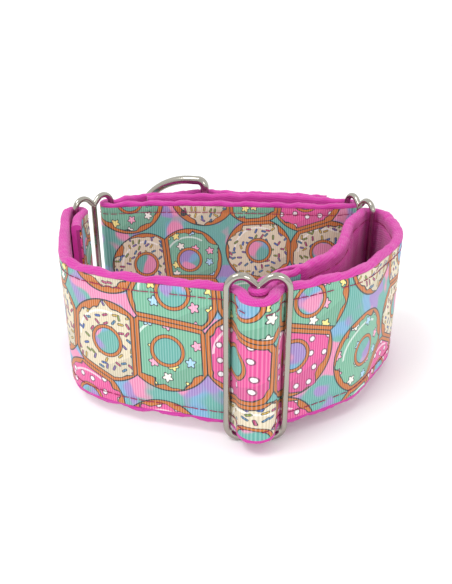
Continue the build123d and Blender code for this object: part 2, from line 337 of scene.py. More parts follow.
def strap_pieces():
    """Every length of the two straps that is made as one piece of each ply."""
    def at(x, y):
        return (FRONT[0] + x, FRONT[1] + y)

    def across(x):
        return (FRONT[0] + x, 0.0)

    left, right = ("left_ring_end", "loop_left"), ("right_ring_end", "loop_right")
    left_nodes, right_nodes = ("centre_left", "left_leg"), ("right_leg", "centre_right")
    return [
        StrapPiece("neck_left", "neck", ("left_end", 0), ("front_left", 1),
                   ("neck_band", "left_ring_end"), at(0, 28), at(0, 53.5),
                   ("left_end", "left_side", "front"), None),
        StrapPiece("neck_slider_left", "neck", ("beside_slider_left", 0), ("crest", 0.5),
                   ("neck_band", "slider"), across(-19.5), across(-1),
                   ("beside_slider", "at_slider"), None),
        StrapPiece("neck_slider_right", "neck", ("crest", 0.5), ("beside_slider_right", 1),
                   ("neck_band", "slider"), across(35), across(20),
                   ("at_slider", "beside_slider"), None),
        StrapPiece("neck_right", "neck", ("front_right", 0), ("right_side_inner", 1),
                   ("neck_band", "right_ring_end"), at(0, 34), at(0, 66),
                   ("front", "right_side", "right_end"), None),
        StrapPiece("neck_slider_end", "neck", ("beside_slider_inner", 0), ("slider_end", 1),
                   ("neck_band", "slider"), at(36, 27), at(24.5, 14.6),
                   ("beside_slider", "at_slider"), "slider_end"),
        StrapPiece("loop_outer_right", "loop", ("outer_right_leg", 0), ("outer_centre_right", 1),
                   right, across(46), across(4), right_nodes, None),
        StrapPiece("loop_outer_left", "loop", ("outer_centre_left", 0), ("outer_left_leg", 1),
                   left, across(-46.7), across(-24), left_nodes, None),
        StrapPiece("loop_near_left", "loop", ("left_end", 0), ("near_middle", 0.5),
                   ("neck_band", "left_ring_end"), across(-14), across(-42),
                   ("left_end", "near_left", "near_middle"), None),
        StrapPiece("loop_near_right", "loop", ("near_middle", 0.5), ("right_end", 1),
                   ("neck_band", "right_ring_end"), across(14), across(44),
                   ("near_middle", "near_right", "right_end"), None),
        StrapPiece("loop_inner_right", "loop", ("inner_right_leg", 0), ("inner_centre_right", 1),
                   right, across(48), across(4), right_nodes, None),
        StrapPiece("loop_inner_left", "loop", ("inner_centre_left", 0), ("inner_left_leg", 1),
                   left, across(-46.7), across(-24), left_nodes, None),
    ]


def smooth_noise(length, shortest, longest, seed, drift=0.0):
    """Seeded ripples along the strap, about -1 to 1, that drift with a second coordinate."""
    draw = np.random.default_rng(seed)
    total = np.zeros(np.broadcast(length, drift).shape)
    for _ in range(12):
        wave = draw.uniform(shortest, longest)
        total += np.sin(2 * np.pi * (length / wave + draw.uniform(0, 1)) + draw.uniform(-1, 1) * drift)
    return total / 4


# Section of the padded lining: outwards distance and height above the strap's mid-height, from
# the inside of the upper roll, over it and down to the middle of the neck side.
LINING_SECTION = [(0.0, 22.9), (1.3, 22.9), (1.75, 23.1), (1.95, 23.7), (1.8, 24.4), (1.2, 24.9),
                  (0.3, 25.05), (-0.7, 24.95), (-1.5, 24.4), (-1.95, 23.5), (-2.0, 22.6),
                  (-1.85, 21.0), (-1.7, 20.0), (-1.72, 19.4), (-2.1, 18.2), (-2.4, 14.0),
                  (-2.5, 8.0), (-2.5, 0.0)]
# The rolls' puckers start at this height and grow over the next; the neck side's face lies inside
# the last.
ROLL_STARTS = 22.0
ROLL_BLEND = 1.5
INNER_FACE = -1.6


def lining_outline():
    """The whole closed section, with points added between those of the list."""
    half = np.array(LINING_SECTION)
    whole = np.vstack([half, (half * [1, -1])[-2::-1]])
    count = len(whole)
    before, after = np.roll(whole, 1, axis=0), np.roll(whole, -1, axis=0)
    beyond = np.roll(whole, -2, axis=0)
    halfway = (9 * (whole + after) - before - beyond) / 16
    halfway[[0, count - 2, count - 1]] = ((whole + after) / 2)[[0, count - 2, count - 1]]
    return np.stack([whole, halfway], axis=1).reshape(-1, 2)[:-1]


def lining_section(line, stations, sizes):
    """The lining's outline at each station: swollen where free, puckered on its rolls."""
    outline = lining_outline()
    seat, across = outline[None, :, 0], outline[None, :, 1]
    length = line.length[stations][:, None]
    full = line.fullness[stations][:, None]
    thin = line.thinness[stations][:, None]
    on_roll = np.clip((np.abs(across) - ROLL_STARTS) / ROLL_BLEND, 0, 1)
    inner_face = (seat < INNER_FACE) * (1 - on_roll)
    limit = (HALF_THICKNESS + (sizes.padding_swell / MM) * full) * (1 - thin)
    outwards = np.repeat(seat, len(stations), axis=0)
    height = np.repeat(across, len(stations), axis=0)
    outwards = np.maximum(outwards, -limit) + (np.abs(seat) < 0.01) * THIN_SEAT * thin
    drift = seat * 0.9 + np.sign(across) * 2
    pucker = (0.35 * smooth_noise(length, 2.0, 5.0, 3, drift)
              + smooth_noise(length, 6.0, 19.0, 4, drift * 0.6))
    drag = smooth_noise(length, 9.0, 26.0, 8, across * 0.12)
    depth = sizes.pucker_depth / MM
    height = height + np.sign(across) * on_roll * depth * (pucker - 0.5)
    outwards = outwards - on_roll * (1 - thin) * 0.35 * depth * np.abs(pucker) * np.sign(outwards)
    outwards = outwards + inner_face * full * (0.28 * drag + 0.08 * pucker)
    perimeter = np.concatenate([[0], np.cumsum(np.linalg.norm(np.diff(outline, axis=0), axis=1))])
    return outwards, height, np.repeat(perimeter[None], len(stations), axis=0)


def webbing_section(line, stations, sizes):
    """The webbing's flat outline, seated further out where the lining is thin."""
    outline = np.array([(WEBBING_INNER, -WEBBING_HALF_WIDTH), (WEBBING_FACE, -WEBBING_HALF_WIDTH),
                        (WEBBING_FACE, 0.0), (WEBBING_FACE, WEBBING_HALF_WIDTH),
                        (WEBBING_INNER, WEBBING_HALF_WIDTH), (WEBBING_INNER, 0.0)])
    outwards = np.repeat(outline[None, :, 0], len(stations), axis=0)
    outwards = outwards + (outwards < 0.1) * THIN_SEAT * line.thinness[stations][:, None]
    height = np.repeat(outline[None, :, 1], len(stations), axis=0)
    return outwards, height, height


def ribbon_section(line, stations, sizes):
    """The ribbon's outline, slightly crowned and drawn down along its sewn rows, stitch by stitch."""
    rows = RIBBON_HALF_WIDTH - sizes.row_inset / MM
    across = RIBBON_HALF_WIDTH * np.sin(np.linspace(-0.5, 0.5, 41) * np.pi)
    at_rows = [side * rows + np.array([-0.5, 0, 0.5]) for side in (1, -1)]
    across = np.sort(np.concatenate([across, *at_rows]))
    length = line.length[stations][:, None]
    near_row = np.exp(-((np.abs(across) - rows) / ROW_SPREAD) ** 2)[None]
    crown = RIBBON_CROWN * (1 - (across / RIBBON_HALF_WIDTH) ** 2)[None]
    each_stitch = np.cos(2 * np.pi * length / (sizes.stitch_pitch / MM))
    outer = RIBBON_FACE + crown - near_row * (ROW_SINK + ROW_RIPPLE * each_stitch)
    outer = outer + 0.03 * smooth_noise(length, 4.0, 14.0, 5, across[None] * 0.2)
    inner = np.full_like(outer, WEBBING_OUTER)
    height = np.repeat(across[None], len(stations), axis=0)
    outwards = np.concatenate([outer, inner[:, ::-1]], axis=1)
    height = np.concatenate([height, height[:, ::-1]], axis=1)
    return outwards, height, height


def finish_mesh(name, vertices, faces, uvs, material, crease=50.0):
    """A mesh object with its faces turned outwards and the strap's own lengths as its map."""
    mesh = bpy.data.meshes.new(name)
    mesh.from_pydata(vertices.tolist(), [], faces)
    layer = mesh.uv_layers.new(name="strap")
    loops = np.zeros(len(mesh.loops), np.int32)
    mesh.loops.foreach_get("vertex_index", loops)
    layer.data.foreach_set("uv", uvs[loops].astype(np.float32).ravel())
    mesh.materials.append(material)
    mesh.shade_smooth()
    mesh.set_sharp_from_angle(angle=math.radians(crease))
    piece = bpy.data.objects.new(name, mesh)
    bpy.context.scene.collection.objects.link(piece)
    return piece


def sweep_band(name, strap, span, section, sizes, material):
    """A closed band: the section carried along a span of the strap's fine steps, its ends capped."""
    line = LINES[strap]
    first, last = span
    count = max(2, round((last - first) / 2))
    stations = np.unique(np.round(np.linspace(first, last, count + 1)).astype(int))
    outwards, height, across = section(line, stations, sizes)
    plan = line.point[stations][:, None] + line.normal[stations][:, None] * outwards[..., None]
    vertices = np.concatenate([plan, (height + MID_HEIGHT)[..., None]], axis=2) * MM
    rows, columns = height.shape
    along = np.repeat(line.length[stations][:, None], columns, axis=1)
    if strap == "loop":
        along = along + LINES["neck"].length[-1]
    uvs = np.stack([along, across], axis=2).reshape(-1, 2)
    faces = []
    for r in range(rows - 1):
        low, high = r * columns, (r + 1) * columns
        for c in range(columns):
            d = (c + 1) % columns
            faces.append((low + c, low + d, high + d, high + c))
    faces.append(tuple(range(columns))[::-1])
    faces.append(tuple(range((rows - 1) * columns, rows * columns)))
    turning = np.sum(outwards[0] * np.roll(height[0], -1) - np.roll(outwards[0], -1) * height[0])
    if turning > 0:
        faces = [face[::-1] for face in faces]
    return finish_mesh(name, vertices.reshape(-1, 3), faces, uvs, material)


def capsule(length, radius, sides=8, rings=3):
    """Points and faces of one stitch, a round-ended bar along its first axis."""
    profile = [(-length / 2 - radius, 0.0)]
    for k in range(rings, 0, -1):
        turn = math.pi / 2 * k / (rings + 1)
        profile.append((-length / 2 - radius * math.sin(turn), radius * math.cos(turn)))
    profile += [(-length / 2, radius), (length / 2, radius)]
    profile += [(-x, r) for x, r in profile[-3:0:-1]] + [(length / 2 + radius, 0.0)]
    points = [(profile[0][0], 0.0, 0.0)]
    for x, r in profile[1:-1]:
        points += [(x, r * math.cos(2 * math.pi * k / sides), r * math.sin(2 * math.pi * k / sides))
                   for k in range(sides)]
    points.append((profile[-1][0], 0.0, 0.0))
    faces = [(0, 1 + (k + 1) % sides, 1 + k) for k in range(sides)]
    for ring in range(len(profile) - 3):
        a, b = 1 + ring * sides, 1 + (ring + 1) * sides
        faces += [(a + k, a + (k + 1) % sides, b + (k + 1) % sides, b + k) for k in range(sides)]
    end, base = len(points) - 1, 1 + (len(profile) - 3) * sides
    faces += [(base + k, base + (k + 1) % sides, end) for k in range(sides)]
    return np.array(points), faces


# Sewn rows that cross a strap from edge to edge, by their distance along it in millimetres.
CROSS_ROWS = {"neck": (2.6, 5.0, 52.0, 54.4, 371.0, 414.0, 416.4),
              "loop": (2.6, 5.0, 48.0, 66.5, 274.0, 286.0, 303.0, 317.0)}
STITCH_RADIUS = 0.15
# Outward places of the stitches: in the ribbon's edge rows, on the lining, and in the cross rows.
# Then how far each kind of row stays from a piece's ends, and the most that a stitch slants.
EDGE_ROW_SEAT = 1.74
LINING_ROW_SEAT = -HALF_THICKNESS + 0.04
CROSS_ROW_SEAT = 1.88
EDGE_ROW_MARGIN = 1.6
CROSS_ROW_MARGIN = 1.2
STITCH_SLANT = 0.06


def stitches(name, piece, span, padded_last, sizes, material):
    """Every stitch of one strap piece, in rows along both edges and across its sewn ends."""
    line = LINES[piece.strap]
    first, last = span
    rows = RIBBON_HALF_WIDTH - sizes.row_inset / MM
    pitch = sizes.stitch_pitch / MM
    shape, shape_faces = capsule(sizes.stitch_length / MM - 2 * STITCH_RADIUS, STITCH_RADIUS)
    low, high = line.length[first], line.length[last]
    draw = np.random.default_rng(len(name) + int(low))
    places = []
    earliest = math.ceil((low + EDGE_ROW_MARGIN) / pitch)
    latest = math.floor((high - EDGE_ROW_MARGIN) / pitch)
    for k in range(earliest, latest + 1):
        station = line.nearest(k * pitch)
        for side in (1, -1):
            places.append((station, EDGE_ROW_SEAT, side * rows, False))
            if station < padded_last:
                places.append((station, LINING_ROW_SEAT, side * rows, False))
    for distance in CROSS_ROWS[piece.strap]:
        if low + CROSS_ROW_MARGIN < distance < high - CROSS_ROW_MARGIN:
            station = line.nearest(distance)
            for height in np.arange(-rows + pitch, rows - pitch / 2, pitch):
                places.append((station, CROSS_ROW_SEAT, height, True))
    points, faces = [], []
    up = np.array([0.0, 0.0, 1.0])
    for station, outwards, height, upright in places:
        along = np.append(line.along[station], 0.0)
        normal = np.append(line.normal[station], 0.0)
        lengthwise, sideways = (up, -along) if upright else (along, up)
        lengthwise = lengthwise + draw.uniform(-STITCH_SLANT, STITCH_SLANT) * sideways
        lengthwise = lengthwise / np.linalg.norm(lengthwise)
        sideways = np.cross(normal, lengthwise)
        middle = np.append(line.point[station], MID_HEIGHT + height) + normal * outwards
        offset = len(points) * len(shape)
        points.append(middle + shape[:, :1] * lengthwise + shape[:, 1:2] * sideways
                      + shape[:, 2:] * np.cross(lengthwise, sideways))
        faces += [tuple(offset + corner for corner in face) for face in shape_faces]
    vertices = np.concatenate(points) * MM
    return finish_mesh(name, vertices, faces, vertices[:, :2] / MM, material)


WHITE = (1.0, 1.0, 1.0)
BLACK = (0.0, 0.0, 0.0)


def shade(red, green, blue):
    """A linear colour from the 0 to 255 levels of a paint chart."""
    levels = [level / 255 for level in (red, green, blue)]
    return tuple(v / 12.92 if v <= 0.04045 else ((v + 0.055) / 1.055) ** 2.4 for v in levels)


def opaque(colour):
    """The colour with full alpha."""
    return (*colour, 1.0)


def mixed(a, b, share):
    """The opaque colour that lies this share of the way from a to b."""
    return opaque([x + (y - x) * share for x, y in zip(a, b)])


class Finish:
    """A material and short ways to add nodes to it."""

    def __init__(self, name):
        self.material = bpy.data.materials.new(name)
        self.material.use_nodes = True
        self.tree = self.material.node_tree
        self.shader = self.tree.nodes["Principled BSDF"]

    def put(self, socket, value):
        """Links a socket to another node's output, or sets it to a constant."""
        if isinstance(value, bpy.types.NodeSocket):
            self.tree.links.new(value, socket)
        elif value is not None:
            socket.default_value = value

    def surface(self, name, value):
        self.put(self.shader.inputs[name], value)

    def add(self, kind, settings=None, **inputs):
        node = self.tree.nodes.new(kind)
        for key, value in (settings or {}).items():
            setattr(node, key, value)
        for key, value in inputs.items():
            self.put(node.inputs[key.replace("_", " ")], value)
        return node

    def math(self, operation, *values):
        node = self.tree.nodes.new("ShaderNodeMath")
        node.operation = operation
        for socket, value in zip(node.inputs, values):
            self.put(socket, value)
        return node.outputs[0]

    def plus(self, a, b):
        return self.math("ADD", a, b)

    def minus(self, a, b):
        return self.math("SUBTRACT", a, b)

    def times(self, a, b):
        return self.math("MULTIPLY", a, b)

    def below(self, a, b):
        return self.math("LESS_THAN", a, b)

    def above(self, a, b):
        return self.math("GREATER_THAN", a, b)

    def vector(self, operation, a, b=None, scale=None):
        node = self.tree.nodes.new("ShaderNodeVectorMath")
        node.operation = operation
        self.put(node.inputs[0], a)
        self.put(node.inputs[1], b)
        if scale is not None:
            node.inputs["Scale"].default_value = scale
        return node

    def split(self, vector):
        """The vector's first two coordinates."""
        return self.add("ShaderNodeSeparateXYZ", Vector=vector).outputs[:2]

    def mix(self, share, a, b):
        node = self.add("ShaderNodeMix", {"data_type": "RGBA"})
        for index, value in ((0, share), (6, a), (7, b)):
            self.put(node.inputs[index], value)
        return node.outputs[2]

    def strap_map(self):
        """Lengths along and across the strap, in millimetres."""
        return self.add("ShaderNodeUVMap", {"uv_map": "strap"}).outputs[0]

    def cells(self, place, randomness):
        """The offset from the nearest cell's middle, and two random values of that cell's own."""
        node = self.add("ShaderNodeTexVoronoi", {"voronoi_dimensions": "2D"},
                        Vector=place, Scale=1.0, Randomness=randomness)
        offset = self.vector("SUBTRACT", place, node.outputs["Position"]).outputs[0]
        drawn = self.add("ShaderNodeSeparateColor", Color=node.outputs["Color"]).outputs
        return offset, drawn[0], drawn[1]

    def noise(self, place, scale, detail=2.0):
        node = self.add("ShaderNodeTexNoise", {"noise_dimensions": "2D"},
                        Vector=place, Scale=scale, Detail=detail)
        return node.outputs[0]

    def grain(self, scale, detail):
        """Unevenness through the solid, for finishes that don't follow the strap."""
        place = self.add("ShaderNodeTexCoord").outputs["Object"]
        return self.add("ShaderNodeTexNoise", Vector=place, Scale=scale, Detail=detail).outputs[0]

    def palette(self, share, charted):
        """One of the charted colours, by even steps of the share."""
        ramp = self.add("ShaderNodeValToRGB", Fac=share)
        ramp.color_ramp.interpolation = "CONSTANT"
        stops = ramp.color_ramp.elements
        for k, levels in enumerate(charted):
            stop = stops[k] if k < 2 else stops.new(k / len(charted))
            stop.position = k / len(charted)
            stop.color = opaque(shade(*levels))
        return ramp.outputs[0]

    def bump(self, height, strength, distance):
        node = self.add("ShaderNodeBump", Height=height, Strength=strength, Distance=distance)
        self.tree.links.new(node.outputs[0], self.shader.inputs["Normal"])


def padded_fabric(name, colour, deep, weave):
    """Brushed cloth with a cloudy tone, a slanted weave whose pitch is in millimetres, and a painted
    highlight on its raised threads.
    """
    finish = Finish(name)
    place = finish.strap_map()
    along, across = finish.split(place)
    cloud = finish.noise(place, 0.09, 4.0)
    fleck = finish.noise(place, 2.6, 3.0)
    tone = finish.plus(finish.times(cloud, 0.6), finish.times(fleck, 0.4))
    base = finish.mix(tone, mixed(colour, deep, 0.5), mixed(colour, WHITE, 0.06))
    slant = finish.plus(finish.times(along, 0.8), across)
    warp = finish.math("SINE", finish.times(slant, 2 * math.pi / weave))
    weft = finish.math("SINE", finish.times(along, 2 * math.pi / weave))
    thread = finish.times(warp, weft)
    # Painted highlight: where the weave's threads stand highest, the colour is paler, as if lit.
    painted_thread_highlight = finish.times(finish.above(thread, 0.25), 0.12)
    finish.surface("Base Color", finish.mix(painted_thread_highlight, base, mixed(colour, (1, 0.8, 1), 0.4)))
    finish.bump(finish.plus(thread, finish.times(fleck, 1.4)), 0.6, 0.00016)
    finish.surface("Roughness", finish.plus(0.7, finish.times(fleck, 0.2)))
    finish.surface("Sheen Weight", 0.25)
    finish.surface("Sheen Roughness", 0.4)
    finish.surface("Specular IOR Level", 0.25)
    return finish.material


# Toppings of the printed rings. Spacings are millimetres; the other sizes are shares of a spacing.
STROKE_SPACING = 2.9
STROKE_HALF_LENGTH = 0.24
STROKE_RADIUS = 0.1
STROKE_LINE = 0.07
STROKE_COLOURS = ((60, 95, 175), (130, 145, 50), (180, 60, 110),
                  (200, 165, 60), (70, 120, 160), (120, 90, 160))
DOT_SPACING = 5.2
DOT_RADIUS = 0.16
DOT_LINE = 0.08
STAR_SPACING = 7.0
STAR_RADIUS = 0.19
STAR_POINT = 0.055
STAR_LINE = 0.06
STAR_COLOURS = ((250, 235, 140), (250, 170, 200), (170, 215, 240), (250, 245, 235))


def sprinkles(finish, place):
    """Short round-ended strokes at scattered angles: outlined, inside the outline, and colour."""
    spot = finish.vector("SCALE", place, scale=1 / STROKE_SPACING).outputs[0]
    offset, first, second = finish.cells(spot, 0.75)
    x, y = finish.split(offset)
    turn = finish.times(first, 2 * math.pi)
    cosine, sine = finish.math("COSINE", turn), finish.math("SINE", turn)
    lengthwise = finish.plus(finish.times(x, cosine), finish.times(y, sine))
    across = finish.minus(finish.times(y, cosine), finish.times(x, sine))
    past_middle = finish.minus(finish.math("ABSOLUTE", lengthwise), STROKE_HALF_LENGTH)
    beyond = finish.math("MAXIMUM", past_middle, 0.0)
    squares = finish.plus(finish.times(beyond, beyond), finish.times(across, across))
    away = finish.math("SQRT", squares)
    return (finish.below(away, STROKE_RADIUS + STROKE_LINE), finish.below(away, STROKE_RADIUS),
            finish.palette(second, STROKE_COLOURS))


def dots(finish, place):
    """Evenly scattered round dots: with their outline, and inside it."""
    spot = finish.vector("SCALE", place, scale=1 / DOT_SPACING).outputs[0]
    offset, _, _ = finish.cells(spot, 0.35)
    away = finish.vector("LENGTH", offset).outputs["Value"]
    return finish.below(away, DOT_RADIUS + DOT_LINE), finish.below(away, DOT_RADIUS)


def stars(finish, place):
    """Five-pointed rounded stars: the outlined star, the star inside its outline, its colour."""
    spot = finish.vector("SCALE", place, scale=1 / STAR_SPACING).outputs[0]
    offset, first, second = finish.cells(spot, 0.55)
    x, y = finish.split(offset)
    away = finish.vector("LENGTH", offset).outputs["Value"]
    turn = finish.plus(finish.math("ARCTAN2", y, x), finish.times(first, 2 * math.pi))
    points = finish.math("COSINE", finish.times(turn, 5.0))
    reach = finish.plus(STAR_RADIUS, finish.times(points, STAR_POINT))
    return (finish.below(away, finish.plus(reach, STAR_LINE)), finish.below(away, reach),
            finish.palette(second, STAR_COLOURS))


# The printed rings: their radius as a share of their spacing, their hole and gleam as shares of
# that radius, and the rest in millimetres, inward from the edge or outward from the hole. A ring's
# drawn value, 0 to 1, makes it pink, mint or cream. Each wash is a noise scale, a shift and a colour.
RING_REACH = 0.56
RING_HOLE = 0.3
RING_SCATTER = 0.6
DOUGH_STARTS = 0.5
ICING_LINE_STARTS = 1.6
ICING_STARTS = 2.0
ICING_WAVER = 6.5
SEAM_ALLOWANCE = 0.3
HOLE_LINE = 0.3
HOLE_DOUGH = 1.2
HOLE_RIM = 1.5
GLEAM_PLACE = 0.72
GLEAM_HALF_WIDTH = 0.4
PINK_BELOW = 0.42
CREAM_ABOVE = 0.7
WASHES = ((0.06, (0, 0), (118, 172, 210)),
          (0.075, (40, 9), (160, 134, 198)),
          (0.08, (7, 63), (232, 140, 180)))


def washed_ground(finish, place, colour):
    """The ribbon's ground with soft patches of other pastels over it."""
    for scale, start, levels in WASHES:
        shifted = finish.vector("ADD", place, (*start, 0.0)).outputs[0]
        wash = finish.add("ShaderNodeMapRange", {"interpolation_type": "SMOOTHSTEP"},
                          Value=finish.noise(shifted, scale, 1.0), From_Min=0.56, From_Max=0.64)
        colour = finish.mix(wash.outputs[0], colour, opaque(shade(*levels)))
    return colour


def topped_icing(finish, paints, place, offset, kind, away, reach):
    """Pink icing with dots, mint with stars or cream with strokes, with a gleam and a shaded side."""
    outline = opaque(paints.outline)
    pink, cream = finish.below(kind, PINK_BELOW), finish.above(kind, CREAM_ABOVE)
    icing = finish.mix(pink, opaque(paints.mint_icing), opaque(paints.pink_icing))
    icing = finish.mix(cream, icing, opaque(paints.cream_icing))
    x, y = finish.split(offset)
    slope = finish.plus(finish.times(x, -0.5), finish.times(y, 0.9))
    from_gleam = finish.math("ABSOLUTE", finish.minus(away, reach * GLEAM_PLACE))
    gleam = finish.times(finish.above(slope, 0.2), finish.below(from_gleam, GLEAM_HALF_WIDTH))
    icing = finish.mix(finish.times(gleam, 0.55), icing, opaque(WHITE))
    icing = finish.mix(finish.times(finish.below(slope, -0.3), 0.16), icing, outline)
    stroke_edge, stroke, stroke_colour = sprinkles(finish, place)
    rim_dot, dot = dots(finish, place)
    star_edge, star, star_colour = stars(finish, place)
    with_sprinkles = finish.mix(stroke, finish.mix(stroke_edge, icing, outline), stroke_colour)
    dot_rim = mixed(paints.pink_icing, paints.outline, 0.7)
    with_dots = finish.mix(dot, finish.mix(rim_dot, icing, dot_rim), (0.9, 0.85, 0.88, 1.0))
    with_stars = finish.mix(star, finish.mix(star_edge, icing, outline), star_colour)
    return finish.mix(cream, finish.mix(pink, with_stars, with_dots), with_sprinkles)


def ring_print(finish, sizes, paints, place):
    """Scattered iced rings on a pastel ground, placed by the print seed alone."""
    seed = np.random.default_rng(sizes.print_seed).uniform(0, 100, 2)
    spacing = sizes.ring_spacing / MM
    moved = finish.vector("ADD", place, (float(seed[0]), float(seed[1]), 0.0)).outputs[0]
    spot = finish.vector("SCALE", moved, scale=1 / spacing).outputs[0]
    offset, kind, _ = finish.cells(spot, RING_SCATTER)
    edges = {"voronoi_dimensions": "2D", "feature": "DISTANCE_TO_EDGE"}
    to_seam = finish.add("ShaderNodeTexVoronoi", edges, Vector=spot, Scale=1.0,
                         Randomness=RING_SCATTER).outputs["Distance"]
    seam = finish.plus(finish.times(to_seam, spacing), SEAM_ALLOWANCE)
    away = finish.times(finish.vector("LENGTH", offset).outputs["Value"], spacing)
    waver = finish.times(finish.minus(finish.noise(moved, 0.15, 1.0), 0.5), ICING_WAVER)
    wavy = finish.plus(away, waver)
    reach = spacing * RING_REACH
    hole = reach * RING_HOLE

    def within(distance, rim):
        """Further than rim inside both the ring's edge and the seam with its neighbour."""
        return finish.above(finish.math("MINIMUM", finish.minus(reach, distance), seam), rim)

    outline = opaque(paints.outline)
    ground = washed_ground(finish, moved, opaque(paints.ground))
    baked = mixed(paints.dough, (0.2, 0.06, 0.0), 0.25)
    dough = finish.mix(finish.noise(moved, 0.4), baked, opaque(paints.dough))
    topped = topped_icing(finish, paints, moved, offset, kind, away, reach)
    colour = finish.mix(finish.below(away, reach), ground, outline)
    colour = finish.mix(within(away, DOUGH_STARTS), colour, dough)
    colour = finish.mix(within(wavy, ICING_LINE_STARTS), colour, outline)
    colour = finish.mix(within(wavy, ICING_STARTS), colour, topped)
    colour = finish.mix(finish.below(away, hole + HOLE_RIM), colour, outline)
    colour = finish.mix(finish.below(away, hole + HOLE_DOUGH), colour, dough)
    colour = finish.mix(finish.below(away, hole + HOLE_LINE), colour, outline)
    return finish.mix(finish.below(away, hole), colour, ground)


def printed_ribbon(name, sizes, paints):
    """Grosgrain ribbon: the print, with painted shade between its ribs and a painted highlight on them."""
    finish = Finish(name)
    place = finish.strap_map()
    colour = ring_print(finish, sizes, paints, place)
    along, _ = finish.split(place)
    rib = finish.math("SINE", finish.times(along, 2 * math.pi / (sizes.rib_pitch / MM)))
    # Painted shade in the hollows between the ribs, using the outline colour, and a painted highlight in
    # white on the rib tops.
    painted_rib_shade = finish.math("MAXIMUM", finish.times(rib, -0.16), 0.0)
    painted_rib_highlight = finish.math("MAXIMUM", finish.times(rib, 0.14), 0.0)
    colour = finish.mix(painted_rib_shade, colour, opaque(paints.outline))
    finish.surface("Base Color", finish.mix(painted_rib_highlight, colour, opaque(WHITE)))
    thread = finish.noise(place, 3.1, 3.0)
    finish.bump(finish.plus(rib, finish.times(thread, 0.5)), 0.5, 0.00012)
    finish.surface("Roughness", finish.plus(0.42, finish.times(thread, 0.22)))
    finish.surface("Sheen Weight", 0.08)
    finish.surface("Specular IOR Level", 0.45)
    return finish.material


def thread_finish(name, colour):
    """Twisted sewing thread, uneven in tone."""
    finish = Finish(name)
    twist = finish.grain(900.0, 2.0)
    finish.surface("Base Color", finish.mix(twist, mixed(colour, BLACK, 0.35), opaque(colour)))
    finish.bump(twist, 0.4, 0.00005)
    finish.surface("Roughness", 0.6)
    return finish.material


def nickel_finish(name, colour):
    """Polished nickel-plated wire, a little uneven and finely rubbed."""
    finish = Finish(name)
    cloud = finish.grain(160.0, 4.0)
    rub = finish.grain(1400.0, 3.0)
    finish.surface("Base Color", finish.mix(cloud, mixed(colour, BLACK, 0.12), opaque(colour)))
    finish.surface("Roughness", finish.plus(0.12, finish.times(cloud, 0.12)))
    finish.bump(rub, 0.12, 0.00003)
    finish.surface("Metallic", 1.0)
    return finish.material


def floor_finish(name):
    """Matt white card."""
    finish = Finish(name)
    fibre = finish.grain(60.0, 3.0)
    finish.surface("Base Color", finish.mix(fibre, (0.96, 0.96, 0.96, 1), (0.98, 0.98, 0.98, 1)))
    finish.surface("Roughness", 0.9)
    finish.surface("Specular IOR Level", 0.1)
    return finish.material


def once(name, make, *values):
    """The material of this name, made now if it isn't there yet."""
    return bpy.data.materials.get(name) or make(name, *values)


PLY_SECTIONS = {"lining": lining_section, "webbing": webbing_section, "ribbon": ribbon_section}
LINING_WEAVE = 0.95
WEBBING_WEAVE = 1.4


def make_strap(strap):
    """Makes every length of one strap, each with its three plies and its stitches."""
    sizes, paints = bpy.context.scene.collar_sizes, bpy.context.scene.collar_colours
    deep = paints.lining_deep
    cloths = {
        "lining": once("padded_lining", padded_fabric, paints.lining, deep, LINING_WEAVE),
        "webbing": once("inner_webbing", padded_fabric, deep, deep, WEBBING_WEAVE),
        "ribbon": once("printed_ribbon", printed_ribbon, sizes, paints),
    }
    thread = once("sewing_thread", thread_finish, paints.thread)
    line = LINES[strap]
    for piece in strap_pieces():
        if piece.strap != strap:
            continue
        first, last = line.station(*piece.first), line.station(*piece.last)
        padded_last = line.station(piece.thins_at) if piece.thins_at else last
        for ply, section in PLY_SECTIONS.items():
            band = sweep_band(f"{piece.name}_{ply}", strap, (first, last), section, sizes, cloths[ply])
            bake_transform(band)
            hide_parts(*[f"{strap}_{ply}_{place}" for place in piece.places])
        sewn = stitches(f"{piece.name}_stitches", piece, (first, last), padded_last, sizes, thread)
        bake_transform(sewn)


class CollarSizes(bpy.types.PropertyGroup):
    padding_swell: bpy.props.FloatProperty(
        name="Padding swell", description="How far the lining stands proud where it is free",
        default=0.0006, unit="LENGTH", precision=5)
    pucker_depth: bpy.props.FloatProperty(
        name="Pucker depth", description="Depth of the puckers along the rolled edges",
        default=0.00032, unit="LENGTH", precision=5)
    row_inset: bpy.props.FloatProperty(
        name="Row inset", description="From the ribbon's edge to its sewn row",
        default=0.0028, unit="LENGTH", precision=5)
    stitch_length: bpy.props.FloatProperty(
        name="Stitch length", description="Length of one stitch on the face",
        default=0.0027, unit="LENGTH", precision=5)
    stitch_pitch: bpy.props.FloatProperty(
        name="Stitch pitch", description="From one stitch to the next",
        default=0.0031, unit="LENGTH", precision=5)
    rib_pitch: bpy.props.FloatProperty(
        name="Rib pitch", description="From one grosgrain rib to the next",
        default=0.0009, unit="LENGTH", precision=5)
    ring_spacing: bpy.props.FloatProperty(
        name="Printed ring spacing", description="Typical distance between the printed iced rings",
        default=0.027, unit="LENGTH", precision=4)
    print_seed: bpy.props.IntProperty(
        name="Print seed", description="Picks where the printed rings fall and which icing each has",
        default=7, min=0)


